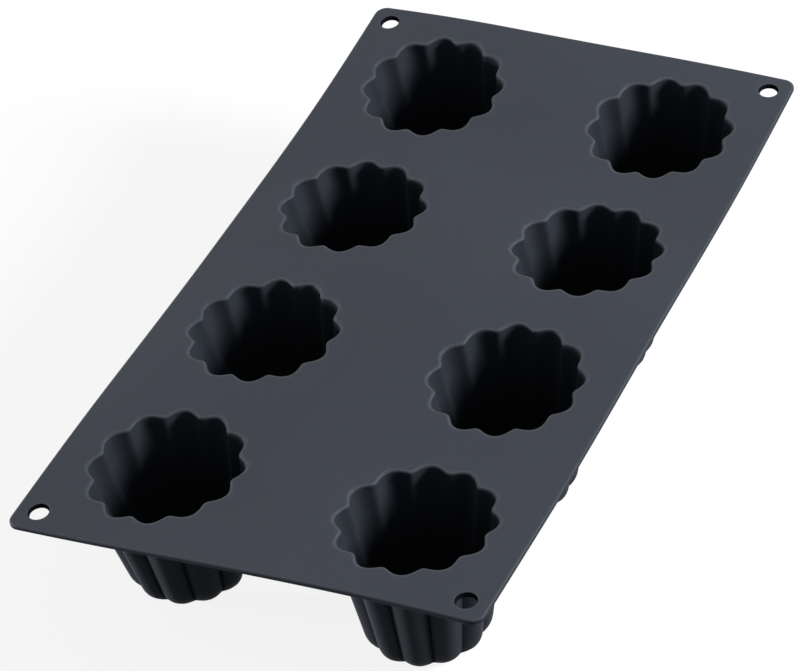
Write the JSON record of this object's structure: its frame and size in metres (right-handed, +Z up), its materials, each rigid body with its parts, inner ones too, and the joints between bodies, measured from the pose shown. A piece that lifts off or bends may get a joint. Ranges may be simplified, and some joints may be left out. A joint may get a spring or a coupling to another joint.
{
  "type": "silicone canele mould",
  "caption": "Flexible baking mould: a thin rectangular deck with hanging holes at its corners and a grid of deep, tapering, fluted cups below it.",
  "frame": {"origin": "on the plane that the cups stand on, under the centre of the deck", "axes": "+X across the deck, +Y along the deck, away from the viewer of the picture, +Z up out of the cups"},
  "size_m": [0.175, 0.3, 0.0485],
  "materials": {
    "black_silicone": "matt moulded silicone"
  },
  "bodies": {
    "root": {"deck": "black_silicone", "cup_1_1": "black_silicone", "cup_1_2": "black_silicone", "cup_1_3": "black_silicone", "cup_1_4": "black_silicone", "cup_2_1": "black_silicone", "cup_2_2": "black_silicone", "cup_2_3": "black_silicone", "cup_2_4": "black_silicone"}
  },
  "joints": []
}
